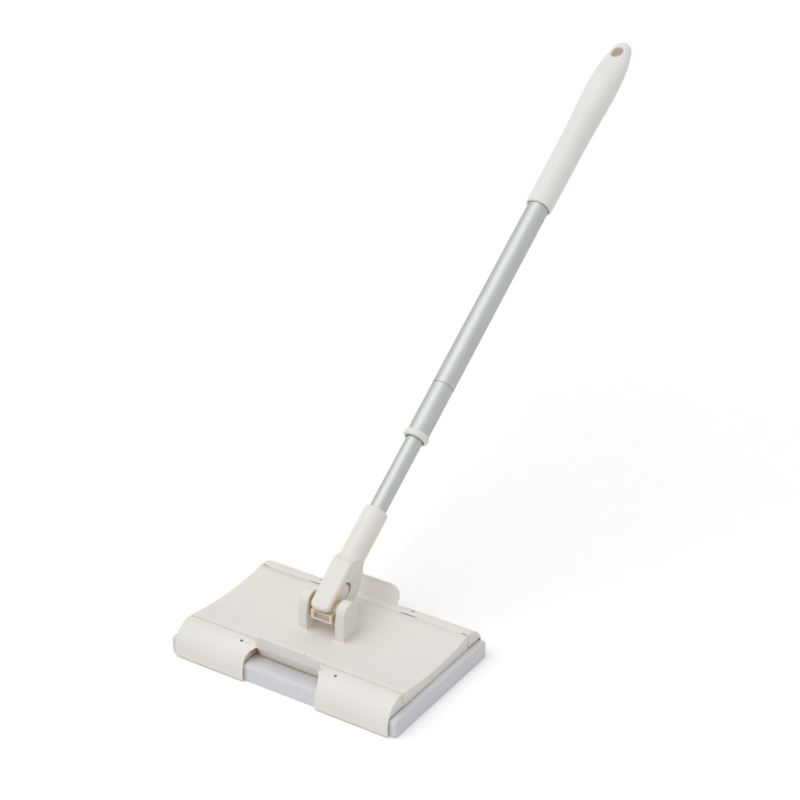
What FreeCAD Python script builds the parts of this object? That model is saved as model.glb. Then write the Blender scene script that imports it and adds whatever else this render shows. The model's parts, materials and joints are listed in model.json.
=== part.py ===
import FreeCAD, Part
import collections
import math
import os
import Sketcher

# Flat floor wiper with a clamped sponge pad and a telescopic pole.
# Frame: X along the head's long side, Y to the rear, Z up, origin on the floor under the pad's centre.
# Lengths are in millimetres and angles in degrees.

SIZES = [
    # sponge pad
    ("pad_length", 280.0, "sponge pad along X"),
    ("pad_width", 173.0, "sponge pad along Y"),
    ("pad_thickness", 20.0, "sponge pad height"),
    ("pad_corner", 1.5, "corner radius of the sponge pad in plan"),
    ("pad_round", 3.2, "rounding of the pad's long top edges"),
    # base plate
    ("plate_inset", 8.0, "end of the pad to the end of the plate"),
    ("plate_half", 61.0, "centre line to the long side wall of the plate"),
    ("plate_edge_top", 36.3, "height of the plate's long edges"),
    ("dish_depth", 5.3, "dish of the plate's top surface"),
    ("plate_skin", 2.4, "thickness of the plate's top skin"),
    ("plate_wall", 2.4, "thickness of the plate's side walls"),
    ("rib_pitch", 44.0, "spacing of the ribs under the plate"),
    ("rib_thickness", 2.0, "thickness of a rib"),
    # yoke on the plate
    ("pivot_height", 60.0, "height of the yoke pin axis"),
    ("ear_gap_half", 17.4, "centre to the inner face of a yoke ear"),
    ("ear_thickness", 11.5, "thickness of a yoke ear"),
    ("ear_top_radius", 12.0, "radius of a yoke ear round the pin"),
    ("ear_foot_half", 14.0, "half depth of a yoke ear at its foot"),
    ("ear_shoulder_drop", 10.0, "pin axis down to where the ear widens"),
    ("yoke_pin_radius", 2.5, "radius of the yoke stub pins"),
    ("yoke_pin_depth", 6.5, "engagement of a stub pin in its ear"),
    ("yoke_pin_root", 5.0, "centre to the inner end of a stub pin"),
    # flap hinges
    ("rod_radius", 0.8, "radius of a flap hinge rod"),
    ("lug_radius", 1.6, "radius of a plate lug round the rod"),
    ("lug_low_root", 9.0, "hinge axis down to a lug's lower root on the plate"),
    ("lug_high_root", 5.0, "hinge axis down to a lug's upper root on the plate"),
    ("lug_chin", 5.0, "hinge axis down to a lug's outer corner"),
    ("lug_elbow", 2.8, "hinge axis down to a lug's inner corner"),
    ("barrel_radius", 3.1, "outer radius of the flap's hinge barrel"),
    ("hinge_gap", 0.3, "gap between the plate's side wall and the flap's barrel"),
    ("lug_gap", 0.3, "gap between a plate lug and the flap"),
    ("lug_width", 4.0, "width of an inner plate lug along X"),
    ("lug_inner_start", 49.0, "centre to the first inner lug"),
    ("spring_bay", 11.0, "room between the two inner lugs for the spring"),
    ("end_lug_width", 6.0, "width of an end lug along X"),
    # flaps
    ("flap_round", 25.2, "outer radius of the flap's rounded side"),
    ("flap_skin", 2.0, "thickness of the flap"),
    ("flap_split", 45.0, "angle from the level where the rounded side's two arcs meet"),
    ("flap_lip", 1.5, "height of the flap's lower lip over the floor"),
    ("flap_end_wall", 1.8, "thickness of the flap's end walls"),
    ("flap_wall_inset", 2.2, "hinge axis to the inner edge of the flap's walls"),
    ("bay_reach", 4.4, "hinge axis to the sides of a lug's bay in the flap"),
    ("bay_drop", 5.0, "hinge axis down to the underside of a lug's bay"),
    ("bay_rise", 0.5, "hinge axis up to the outer lip of a lug's bay"),
    ("bay_lean", 30.0, "angle of the bay's inner lip from the vertical"),
    ("flap_over_pad", 0.8, "gap between the flap's inner walls and the pad's top"),
    ("notch_half", 45.0, "half width of the flap's central notch"),
    ("notch_round", 10.0, "corner radius of the notch"),
    ("notch_drop", 1.2, "flap top down to the top of the notch"),
    ("notch_wall_setback", 1.6, "notch edge to the wall beside it"),
    ("tab_half", 39.0, "half width of the finger tab"),
    ("tab_height", 54.0, "height of the finger tab's top edge"),
    ("tab_reach", 80.0, "centre line to the outer face at the tab's top"),
    ("tab_foot", 65.2, "centre line to the outer face at the tab's foot"),
    ("tab_thickness", 2.4, "thickness of the finger tab along Y"),
    ("tab_corner", 11.0, "corner radius of the finger tab"),
    ("bead_radius", 1.4, "radius of the bead on the tab's top edge"),
    ("bead_half", 27.0, "half length of the bead"),
    ("peephole_radius", 1.7, "radius of the small hole for the spring leg"),
    ("peephole_depth", 6.0, "flap top down to the end of the small hole's cut"),
    ("peephole_reach", 70.9, "centre line to the small hole"),
    # flap springs
    ("spring_wire", 0.3, "radius of the spring wire"),
    ("spring_mean", 1.25, "mean radius of the spring coil"),
    ("spring_pitch", 0.85, "pitch of the spring coil"),
    ("spring_foot_drop", 9.0, "length of the spring's inner leg"),
    # pole, measured along the pole from the pivot
    ("pole_elevation", 35.5, "angle of the pole above the floor"),
    ("tube_offset", 2.85, "pivot to the tube's centre line, upward"),
    ("fork_half", 12.0, "half width of the fork"),
    ("fork_front", 15.8, "pivot to the fork's front face at the ends of its arms"),
    ("fork_chest", 18.3, "pivot to the fork's front face below its shoulder"),
    ("fork_back", 22.9, "pivot to the fork's back at its deepest"),
    ("fork_arm_drop", 11.5, "pivot down to the ends of the fork's arms"),
    ("fork_arm_round", 7.0, "corner radius at the ends of the fork's arms"),
    ("fork_heel", 17.0, "pivot to the fork's back at the end of its arm"),
    ("fork_back_height", 26.5, "pivot to the start of the fork's rounded cheek"),
    ("fork_cheek", 41.0, "curve radius of the fork's rounded cheek"),
    ("fork_nape", 2.9, "pivot to the back end of the fork's crest"),
    ("fork_nape_height", 56.6, "pivot to the top of the fork's rounded cheek"),
    ("fork_chest_height", 46.0, "pivot to the start of the fork's shoulder"),
    ("fork_crest", 8.0, "pivot to the front end of the fork's crest"),
    ("fork_crest_height", 55.5, "pivot to the top of the fork's shoulder"),
    ("fork_edge_round", 3.4, "rounding of the fork's front edges"),
    ("slot_front", 9.5, "pivot to the slot's front wall"),
    ("slot_back", 7.0, "pivot to the slot's back wall"),
    ("slot_top", 30.0, "pivot to the top of the slot"),
    ("fork_pin_radius", 2.5, "radius of the fork pin"),
    ("fork_pin_skin", 2.5, "fork's front face to the end of the fork pin"),
    ("fork_pin_back", 18.0, "pivot to the back end of the fork pin"),
    ("socket_radius", 13.3, "outer radius of the pole socket"),
    ("socket_top", 114.4, "pivot to the mouth of the socket"),
    ("socket_root", 38.0, "pivot to the root of the socket's flare"),
    ("socket_root_inset", 0.5, "fork's side to the root of the socket's flare"),
    ("socket_flare", 54.0, "pivot to the top of the socket's flare"),
    ("socket_floor", 62.0, "pivot to the floor of the socket's bore"),
    ("socket_rim", 1.6, "rounding of the socket's rim"),
    # cross block
    ("block_half", 10.5, "half width of the block's tongue"),
    ("block_play", 0.4, "gap between the tongue and the slot's walls"),
    ("block_dome", 6.0, "rise of the tongue's domed top"),
    ("block_top", 27.5, "pivot to the top of the tongue"),
    ("hub_radius", 6.4, "radius of the block's side hubs"),
    ("hub_play", 0.4, "gap between a hub and its ear"),
    ("tongue_bottom", 8.0, "pivot down the pole to the lower end of the tongue"),
    ("foot_half", 13.0, "half width of the block's level foot"),
    ("foot_front", 12.6, "pivot forward to the front of the block's foot"),
    ("foot_top", 2.0, "pivot down to the top of the block's foot"),
    ("foot_bottom", 12.3, "pivot down to the underside of the block's foot"),
    ("foot_wall", 1.6, "wall round the opening in the block's foot"),
    ("foot_opening_depth", 5.0, "depth of the opening in the block's foot"),
    # telescopic pole
    ("inner_radius", 9.5, "outer radius of the inner tube"),
    ("tube_wall", 0.8, "wall of the tubes"),
    ("inner_top", 470.0, "pivot to the top end of the inner tube"),
    ("lower_radius", 12.4, "outer radius of the lower outer tube"),
    ("upper_radius", 12.6, "outer radius of the upper outer tube"),
    ("ring_bottom", 204.6, "pivot to the underside of the collar ring"),
    ("ring_height", 9.8, "height of the collar ring"),
    ("ring_radius", 14.3, "outer radius of the collar ring"),
    ("ring_mouth", 11.2, "radius of the collar ring's mouth"),
    ("ring_round", 1.1, "edge bevel of the collar ring"),
    ("bush_length", 24.0, "length of the collar ring's bush inside the tube"),
    ("seam", 273.9, "pivot to the middle of the joint between the outer tubes"),
    ("seam_gap", 0.8, "gap between the two outer tubes"),
    ("coupling_half", 26.0, "half length of the coupling sleeve"),
    ("coupling_wall", 1.2, "wall of the coupling sleeve"),
    ("upper_top", 700.0, "pivot to the top end of the upper outer tube"),
    ("plug_length", 20.0, "length of the lock plug inside the inner tube"),
    ("stem_radius", 4.0, "radius of the lock stem"),
    ("sleeve_length", 27.0, "length of the lock sleeve"),
    ("sleeve_slit", 2.0, "width of the slit in the lock sleeve"),
    ("stem_flange", 2.0, "thickness of the lock stem's flange"),
    ("stem_head", 4.0, "thickness of the lock stem's head"),
    # grip
    ("grip_bottom", 520.2, "pivot to the lower end of the grip"),
    ("grip_rim", 1.3, "edge rounding at the grip's lower end"),
    ("grip_low_radius", 15.4, "radius of the grip at its lower end"),
    ("grip_mid", 622.0, "pivot to the grip's middle station"),
    ("grip_mid_radius", 16.2, "radius of the grip at its middle station"),
    ("grip_swell", 700.0, "pivot to the start of the grip's widest part"),
    ("grip_swell_radius", 18.6, "radius of the grip at its widest"),
    ("grip_swell_curve", 190.0, "curve radius of the grip's side at its widest"),
    ("grip_neck", 738.0, "pivot to where the tip starts to round"),
    ("grip_neck_radius", 16.4, "radius of the grip where the tip starts to round"),
    ("grip_neck_curve", 77.0, "curve radius of the grip's side above the neck"),
    ("grip_crown", 758.0, "pivot to the start of the tip's crown"),
    ("grip_crown_radius", 11.5, "radius of the grip at the start of the crown"),
    ("grip_tip", 767.5, "pivot to the tip of the grip"),
    ("grip_tip_land", 0.7, "radius of the small flat at the very tip"),
    ("tip_flat", 8.4, "half thickness of the flattened tip at the eye"),
    ("tip_end_flat", 6.9, "half thickness of the flattened tip at its end"),
    ("tip_taper_start", 694.0, "pivot to the start of the tip's flats"),
    ("eye_station", 750.0, "pivot to the hanging eye"),
    ("eye_radius", 6.8, "radius of the hanging eye"),
    # fits
    ("running_fit", 0.05, "radial clearance of a turning or sliding fit"),
    ("press_fit", 0.02, "radial clearance of a pressed joint"),
]

doc = FreeCAD.newDocument("floor_wiper")
sheet = doc.addObject("Spreadsheet::Sheet", "Sizes")
for row, (alias, value, note) in enumerate(SIZES, start=1):
    sheet.set(f"A{row}", alias)
    sheet.set(f"B{row}", str(value))
    sheet.set(f"C{row}", note)
    sheet.setAlias(f"B{row}", alias)
doc.recompute()


class Size:
    """A length with both its value and the sheet expression that gives it."""

    def __init__(self, value, text):
        self.value = value
        self.text = text

    def __add__(self, other):
        other = as_size(other)
        return Size(self.value + other.value, f"({self.text} + {other.text})")

    def __sub__(self, other):
        other = as_size(other)
        return Size(self.value - other.value, f"({self.text} - {other.text})")

    def __mul__(self, other):
        other = as_size(other)
        return Size(self.value * other.value, f"({self.text} * {other.text})")

    def __truediv__(self, other):
        other = as_size(other)
        return Size(self.value / other.value, f"({self.text} / {other.text})")

    def __radd__(self, other):
        return as_size(other) + self

    def __rsub__(self, other):
        return as_size(other) - self

    def __rmul__(self, other):
        return as_size(other) * self

    def __neg__(self):
        return Size(-self.value, f"(-1 * {self.text})")

    def root(self):
        return Size(math.sqrt(self.value), f"sqrt({self.text})")

    def sine(self):
        return Size(math.sin(math.radians(self.value)), f"sin({self.text})")

    def cosine(self):
        return Size(math.cos(math.radians(self.value)), f"cos({self.text})")


def as_size(number):
    return number if isinstance(number, Size) else Size(float(number), f"{float(number):.6f}")


class Sheet:
    """The sheet's cells as attributes."""

    def __init__(self, rows):
        for alias, value, _ in rows:
            setattr(self, alias, Size(value, f"Sizes.{alias}"))


S = Sheet(SIZES)


def bind(item, path, size):
    item.setExpression(path, as_size(size).text)


def new_body(label):
    body = doc.addObject("PartDesign::Body", label)
    body.Label = label
    return body


def new_sketch(body, role, offset=None):
    """A sketch on one of the body's origin planes, moved along the plane's normal by offset."""
    sketch = body.newObject("Sketcher::SketchObject", f"{body.Name}_sketch")
    plane = next(item for item in body.Origin.OriginFeatures if item.Role == role)
    sketch.AttachmentSupport = [(plane, "")]
    sketch.MapMode = "FlatFace"
    if offset is not None:
        sketch.AttachmentOffset = FreeCAD.Placement(
            FreeCAD.Vector(0, 0, as_size(offset).value), FreeCAD.Rotation())
        bind(sketch, "AttachmentOffset.Base.z", offset)
    return sketch


Disc = collections.namedtuple("Disc", "across up radius")


def locate(sketch, geometry, end, point):
    """Dimension one end of a sketch line or arc, or a centre, from the sketch's origin."""
    for axis, line, size in (("DistanceX", -2, point[0]), ("DistanceY", -1, point[1])):
        size = as_size(size)
        if abs(size.value) < 1e-9:
            sketch.addConstraint(Sketcher.Constraint("PointOnObject", geometry, end, line))
        else:
            index = sketch.addConstraint(Sketcher.Constraint(axis, -1, 1, geometry, end, size.value))
            bind(sketch, f"Constraints[{index}]", size)


def arc_centre(start, end, radius, turn):
    """Centre of the arc from start to end that turns left (1) or right (-1)."""
    run_x, run_y = end[0] - start[0], end[1] - start[1]
    chord = math.hypot(run_x, run_y)
    height = math.sqrt(max(radius ** 2 - chord ** 2 / 4, 0.0))
    return ((start[0] + end[0]) / 2 - turn * height * run_y / chord,
            (start[1] + end[1]) / 2 + turn * height * run_x / chord)


def outline(sketch, corners):
    """A closed outline. A corner is (x, y), or (x, y, radius, turn) where an arc leaves it."""
    first = sketch.GeometryCount
    count = len(corners)
    points = [(as_size(corner[0]).value, as_size(corner[1]).value) for corner in corners]
    ends = []
    for index, corner in enumerate(corners):
        start, end = points[index], points[(index + 1) % count]
        if len(corner) == 2:
            line = Part.LineSegment(FreeCAD.Vector(*start, 0), FreeCAD.Vector(*end, 0))
            sketch.addGeometry(line, False)
            ends.append((1, 2))
            continue
        radius, turn = corner[2], corner[3]
        centre = arc_centre(start, end, as_size(radius).value, turn)
        from_end, to_end = (start, end) if turn > 0 else (end, start)
        first_angle = math.atan2(from_end[1] - centre[1], from_end[0] - centre[0])
        last_angle = math.atan2(to_end[1] - centre[1], to_end[0] - centre[0])
        circle = Part.Circle(FreeCAD.Vector(*centre, 0), FreeCAD.Vector(0, 0, 1), as_size(radius).value)
        sketch.addGeometry(Part.ArcOfCircle(circle, first_angle, last_angle), False)
        ends.append((1, 2) if turn > 0 else (2, 1))
    for index, corner in enumerate(corners):
        geometry = first + index
        following = (index + 1) % count
        sketch.addConstraint(Sketcher.Constraint(
            "Coincident", geometry, ends[index][1], first + following, ends[following][0]))
        locate(sketch, geometry, ends[index][0], corner)
        if len(corner) == 4:
            radius_index = sketch.addConstraint(
                Sketcher.Constraint("Radius", geometry, as_size(corner[2]).value))
            bind(sketch, f"Constraints[{radius_index}]", corner[2])


def circle(sketch, centre_x, centre_y, radius):
    geometry = sketch.GeometryCount
    centre = FreeCAD.Vector(as_size(centre_x).value, as_size(centre_y).value, 0)
    sketch.addGeometry(Part.Circle(centre, FreeCAD.Vector(0, 0, 1), as_size(radius).value), False)
    locate(sketch, geometry, 3, (centre_x, centre_y))
    index = sketch.addConstraint(Sketcher.Constraint("Radius", geometry, as_size(radius).value))
    bind(sketch, f"Constraints[{index}]", radius)


def extrude(body, kind, sketch, length, symmetric=False):
    """A Pad or a Pocket; a Pad runs along the sketch's normal and a Pocket against it.

    Faces stay as they are drawn, because a face that is joined from several can be too large to mesh well.
    """
    feature = body.newObject(f"PartDesign::{kind}", f"{body.Name}_{kind.lower()}")
    feature.Profile = sketch
    feature.Length = as_size(length).value
    feature.Refine = False
    feature.SideType = "Symmetric" if symmetric else "One side"
    bind(feature, "Length", length)
    sketch.Visibility = False
    body.Tip = feature
    return feature


def draw(sketch, shape):
    """Draw a Disc or an outline's corners."""
    if isinstance(shape, Disc):
        circle(sketch, shape.across, shape.up, shape.radius)
    else:
        outline(sketch, shape)


def across(body, kind, shape, length):
    """A Pad or Pocket of a side view, symmetric about the middle plane X = 0."""
    sketch = new_sketch(body, "YZ_Plane")
    draw(sketch, shape)
    return extrude(body, kind, sketch, length, symmetric=True)


def both_sides(body, kind, shape, start, width):
    """Two Pads or Pockets of a side view, one from start to start + width and its mirror image."""
    for near_end in (start, -(start + width)):
        sketch = new_sketch(body, "YZ_Plane", near_end if kind == "Pad" else near_end + width)
        draw(sketch, shape)
        extrude(body, kind, sketch, width)


def turned(label, corners):
    """A body turned round its own Z axis from an outline of (radius, height) corners."""
    body = new_body(label)
    sketch = new_sketch(body, "XZ_Plane")
    outline(sketch, corners)
    turn = body.newObject("PartDesign::Revolution", f"{label}_turn")
    turn.Profile = sketch
    turn.ReferenceAxis = (sketch, ["V_Axis"])
    turn.Angle = 360
    sketch.Visibility = False
    body.Tip = turn
    return body


def sleeve(label, inner, outer, bottom, top):
    return turned(label, [(inner, bottom), (outer, bottom), (outer, top), (inner, top)])


def round_edges(body, radius, wanted):
    """Fillet the edges of the body's tip whose bounding box is wanted."""
    doc.recompute()
    base = body.Tip
    names = [f"Edge{index}" for index, edge in enumerate(base.Shape.Edges, start=1)
             if wanted(edge.BoundBox)]
    fillet = body.newObject("PartDesign::Fillet", f"{body.Name}_fillet")
    fillet.Base = (base, names)
    bind(fillet, "Radius", radius)
    body.Tip = fillet


def level(box, height):
    """Whether an edge lies flat at this height."""
    height = as_size(height).value
    return abs(box.ZMin - height) < 0.01 and abs(box.ZMax - height) < 0.01


def put_on_pole(body, offset):
    """Lean a body with the pole; offset moves it from the pivot toward the tube's centre line."""
    lean = 90 - S.pole_elevation
    base_y = -(offset * S.pole_elevation.sine())
    base_z = S.pivot_height + offset * S.pole_elevation.cosine()
    body.Placement = FreeCAD.Placement(
        FreeCAD.Vector(0, base_y.value, base_z.value),
        FreeCAD.Rotation(FreeCAD.Vector(-1, 0, 0), lean.value))
    bind(body, "Placement.Base.y", base_y)
    bind(body, "Placement.Base.z", base_z)
    bind(body, "Placement.Rotation.Angle", lean)


# Positions that several pieces share

plate_length = S.pad_length - 2 * S.plate_inset
plate_end = plate_length / 2
flap_top = S.plate_edge_top + 0.2
hinge_y = S.plate_half + S.hinge_gap + S.barrel_radius
hinge_z = flap_top - S.barrel_radius
lug_outer_start = S.lug_inner_start + S.lug_width + S.spring_bay
end_lug_start = plate_end - S.flap_end_wall - S.lug_gap - S.end_lug_width
rod_length = plate_length - 2
bay_centre = S.lug_inner_start + S.lug_width + S.spring_bay / 2
dish_radius = (S.plate_half * S.plate_half + S.dish_depth * S.dish_depth) / (2 * S.dish_depth)
ear_outer = S.ear_gap_half + S.ear_thickness
stub_end = S.ear_gap_half + S.yoke_pin_depth
tongue_front = S.slot_front - S.block_play
tongue_back = S.slot_back - S.block_play
pin_front = S.fork_front - S.fork_pin_skin
lower_bore = S.lower_radius - S.tube_wall
upper_bore = S.upper_radius - S.tube_wall
seam_low = S.seam - S.seam_gap / 2
seam_high = S.seam + S.seam_gap / 2


def sponge_pad():
    body = new_body("sponge_pad")
    sketch = new_sketch(body, "XY_Plane")
    half_x, half_y = S.pad_length / 2, S.pad_width / 2
    outline(sketch, [(-half_x, -half_y), (half_x, -half_y), (half_x, half_y), (-half_x, half_y)])
    extrude(body, "Pad", sketch, S.pad_thickness)
    round_edges(body, S.pad_corner, lambda box: box.ZLength > S.pad_thickness.value / 2)
    round_edges(body, S.pad_round,
                lambda box: level(box, S.pad_thickness) and box.XLength > S.pad_length.value / 2)
    return body


def plate_yoke(body):
    """The two ears that carry the yoke's stub pins."""
    foot, crown, axis = S.ear_foot_half, S.ear_top_radius, S.pivot_height
    shoulder = axis - S.ear_shoulder_drop
    both_sides(body, "Pad", [
        (-foot, S.pad_thickness), (foot, S.pad_thickness), (foot, shoulder),
        (crown, axis, crown, 1), (0, axis + crown, crown, 1), (-crown, axis), (-foot, shoulder),
    ], S.ear_gap_half, S.ear_thickness)
    across(body, "Pocket", Disc(0, axis, S.yoke_pin_radius + S.running_fit), 2 * (stub_end + 0.5))


def plate_lugs(body):
    """The lugs along both long edges that hold the flap hinge rods."""
    root = S.plate_half - S.plate_wall / 2
    for side in (1, -1):
        inner_side = side * (hinge_y - S.lug_radius)
        outer_side = side * (hinge_y + S.lug_radius)
        lug = [
            (side * root, hinge_z - S.lug_low_root), (outer_side, hinge_z - S.lug_chin),
            (outer_side, hinge_z, S.lug_radius, side),
            (side * hinge_y, hinge_z + S.lug_radius, S.lug_radius, side),
            (inner_side, hinge_z), (inner_side, hinge_z - S.lug_elbow),
            (side * root, hinge_z - S.lug_high_root),
        ]
        both_sides(body, "Pad", lug, S.lug_inner_start, S.lug_width)
        both_sides(body, "Pad", lug, lug_outer_start, S.lug_width)
        both_sides(body, "Pad", lug, end_lug_start, S.end_lug_width)
        across(body, "Pocket", Disc(side * hinge_y, hinge_z, S.rod_radius + S.press_fit), plate_length)


def base_plate():
    body = new_body("base_plate")
    half, top, bottom = S.plate_half, S.plate_edge_top, S.pad_thickness
    across(body, "Pad", [
        (-half, bottom), (half, bottom), (half, top, dish_radius, -1), (-half, top),
    ], plate_length)
    inner = half - S.plate_wall
    under_radius = dish_radius + S.plate_skin
    under_top = top - S.dish_depth + dish_radius - (under_radius * under_radius - inner * inner).root()
    hollow = [
        (-inner, bottom), (inner, bottom), (inner, under_top, under_radius, -1), (-inner, under_top),
    ]
    across(body, "Pocket", hollow, plate_length - 2 * S.plate_wall)
    across(body, "Pad", hollow, S.rib_thickness)
    for step in (1, 2):
        both_sides(body, "Pad", hollow, step * S.rib_pitch - S.rib_thickness / 2, S.rib_thickness)
    spine, spine_top = S.rib_thickness / 2, top - S.dish_depth - S.plate_skin / 2
    across(body, "Pad", [
        (-spine, bottom), (spine, bottom), (spine, spine_top), (-spine, spine_top),
    ], plate_length - S.plate_wall)
    plate_yoke(body)
    plate_lugs(body)
    return body


def flap(label):
    """One clamp flap, drawn as the rear one."""
    body = new_body(label)
    outer, inner = S.flap_round, S.flap_round - S.flap_skin
    centre_z = flap_top - outer
    out, up = S.flap_split.cosine(), S.flap_split.sine()
    across(body, "Pad", [
        (hinge_y + inner, S.flap_lip), (hinge_y + outer, S.flap_lip), (hinge_y + outer, centre_z, outer, 1),
        (hinge_y + out * outer, centre_z + up * outer, outer, 1), (hinge_y, flap_top),
        (hinge_y, flap_top - S.flap_skin, inner, -1),
        (hinge_y + out * inner, centre_z + up * inner, inner, -1), (hinge_y + inner, centre_z),
    ], plate_length)
    across(body, "Pad", Disc(hinge_y, hinge_z, S.barrel_radius), plate_length)

    wall_bottom = S.pad_thickness + S.flap_over_pad
    notch_top = flap_top - S.notch_drop
    slant = (S.tab_reach - S.tab_foot) / (S.tab_height - wall_bottom)
    notch_start = S.tab_foot + slant * (notch_top - wall_bottom)
    half, corner = S.notch_half, S.notch_round
    notch = new_sketch(body, "XZ_Plane", -notch_start)
    outline(notch, [
        (-half, -5), (half, -5), (half, notch_top - corner, corner, 1), (half - corner, notch_top),
        (corner - half, notch_top, corner, 1), (-half, notch_top - corner),
    ])
    extrude(body, "Pocket", notch, 2 * outer)

    wall_round = outer - S.flap_skin / 2
    drop = wall_bottom - centre_z
    wall = [
        (hinge_y - S.flap_wall_inset, wall_bottom),
        (hinge_y + (wall_round * wall_round - drop * drop).root(), wall_bottom, wall_round, 1),
        (hinge_y, flap_top - S.flap_skin / 2), (hinge_y - S.flap_wall_inset, hinge_z),
    ]
    both_sides(body, "Pad", wall, plate_end - S.flap_end_wall, S.flap_end_wall)
    both_sides(body, "Pad", wall, S.notch_half + S.notch_wall_setback, S.flap_end_wall)

    clear = S.lug_radius + S.lug_gap
    along = S.bay_reach / S.bay_lean.sine()
    bay = [
        (hinge_y - S.bay_lean.sine() * clear, hinge_z + S.bay_lean.cosine() * clear),
        (hinge_y - S.bay_reach, hinge_z + S.bay_lean.cosine() * along),
        (hinge_y - S.bay_reach, hinge_z - S.bay_drop), (hinge_y + S.bay_reach, hinge_z - S.bay_drop),
        (hinge_y + S.bay_reach, hinge_z + S.bay_rise),
        (hinge_y + (clear * clear - S.bay_rise * S.bay_rise).root(), hinge_z + S.bay_rise, clear, 1),
    ]
    both_sides(body, "Pocket", bay, S.lug_inner_start - S.lug_gap,
               2 * S.lug_width + S.spring_bay + 2 * S.lug_gap)
    both_sides(body, "Pocket", bay, end_lug_start - S.lug_gap, S.end_lug_width + 2 * S.lug_gap)

    for side in (1, -1):
        peephole = new_sketch(body, "XY_Plane", flap_top + 2)
        circle(peephole, side * bay_centre, S.peephole_reach, S.peephole_radius)
        extrude(body, "Pocket", peephole, S.peephole_depth + 2)

    tab = new_body(f"{label}_tab")
    across(tab, "Pad", [
        (S.tab_foot, wall_bottom), (S.tab_reach, S.tab_height),
        (S.tab_reach - S.tab_thickness, S.tab_height), (S.tab_foot - S.tab_thickness, wall_bottom),
    ], 2 * S.tab_half)
    for side in (1, -1):
        rounding = new_sketch(tab, "XZ_Plane", S.tab_thickness * 2 - S.tab_foot)
        start, low = side * (S.tab_half - S.tab_corner), S.tab_height - S.tab_corner
        far, high = side * (S.tab_half + 1), S.tab_height + 1
        outline(rounding, [
            (start, S.tab_height, S.tab_corner, -side), (side * S.tab_half, low),
            (far, low), (far, high), (start, high),
        ])
        extrude(tab, "Pocket", rounding, S.flap_round)
    across(tab, "Pad", Disc(S.tab_reach - S.bead_radius, S.tab_height, S.bead_radius), 2 * S.bead_half)

    joined = body.newObject("PartDesign::Boolean", f"{label}_with_tab")
    joined.Type = "Fuse"
    joined.Refine = False
    joined.addObjects([tab])
    body.Tip = joined
    across(body, "Pocket", Disc(hinge_y, hinge_z, S.rod_radius + S.running_fit), plate_length + 2)
    return body


def front_flap():
    body = flap("front_flap")
    body.Placement = FreeCAD.Placement(
        FreeCAD.Vector(), FreeCAD.Rotation(FreeCAD.Vector(0, 0, 1), 180))
    return body


def rear_flap():
    return flap("rear_flap")


def hinge_rod(label, side):
    body = new_body(label)
    across(body, "Pad", Disc(side * hinge_y, hinge_z, S.rod_radius), rod_length)
    return body


def one_spring():
    """A torsion spring at the rear hinge, its outer leg up in the flap's small hole."""
    wire, coil = S.spring_wire.value, S.spring_mean.value
    turns = 3 + 330 / 360
    helix = Part.makeHelix(S.spring_pitch.value, turns * S.spring_pitch.value, coil, 0, True)
    profile = Part.Wire(Part.makeCircle(wire, FreeCAD.Vector(coil, 0, 0), FreeCAD.Vector(0, 1, 0)))
    spring = Part.Wire(helix).makePipeShell([profile], True, True)
    spring.rotate(FreeCAD.Vector(), FreeCAD.Vector(0, 1, 0), 90)
    reach = S.peephole_reach.value - hinge_y.value
    start = FreeCAD.Vector(0, 0, -coil)
    elbow = FreeCAD.Vector(0, reach, -coil)
    rise = flap_top.value - 0.8 - hinge_z.value + coil
    end_angle = math.radians(300)
    finish = FreeCAD.Vector(turns * S.spring_pitch.value,
                            coil * math.cos(end_angle), coil * math.sin(end_angle))
    inward = (S.plate_half.value + wire + 0.05 - hinge_y.value - finish.y) / math.sin(end_angle)
    foot_direction = FreeCAD.Vector(0, math.sin(end_angle), -math.cos(end_angle))
    pieces = [
        Part.makeCylinder(wire, reach, start, FreeCAD.Vector(0, 1, 0)),
        Part.makeSphere(wire, elbow),
        Part.makeCylinder(wire, rise, elbow, FreeCAD.Vector(0, 0, 1)),
        Part.makeCylinder(wire, inward, finish, foot_direction),
    ]
    spring = spring.fuse(pieces)
    spring.translate(FreeCAD.Vector(bay_centre.value, hinge_y.value, hinge_z.value))
    return spring


def spring_pair(label, turn):
    """The two springs of one flap; turn is 0 at the rear and 180 at the front."""
    right = one_spring()
    left = right.mirror(FreeCAD.Vector(), FreeCAD.Vector(1, 0, 0))
    pair = doc.addObject("Part::Feature", label)
    pair.Label = label
    pair.Shape = Part.makeCompound([right, left])
    pair.Placement = FreeCAD.Placement(
        FreeCAD.Vector(), FreeCAD.Rotation(FreeCAD.Vector(0, 0, 1), turn))
    return pair


# Pieces of the yoke and the pole are drawn with Z along the pole and the pole's front toward -Y.

def yoke_pins():
    body = new_body("yoke_pins")
    both_sides(body, "Pad", Disc(0, 0, S.yoke_pin_radius), S.yoke_pin_root, stub_end - S.yoke_pin_root)
    put_on_pole(body, as_size(0))
    return body


def upright(forward, rise):
    """A level distance and a height from the pivot, in the side view that leans with the pole."""
    sine, cosine = S.pole_elevation.sine(), S.pole_elevation.cosine()
    return forward * sine - rise * cosine, forward * cosine + rise * sine


def behind_tongue(rise):
    """The point of the tongue's back plane at a height from the pivot."""
    return upright((tongue_back + rise * S.pole_elevation.cosine()) / S.pole_elevation.sine(), rise)


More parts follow.
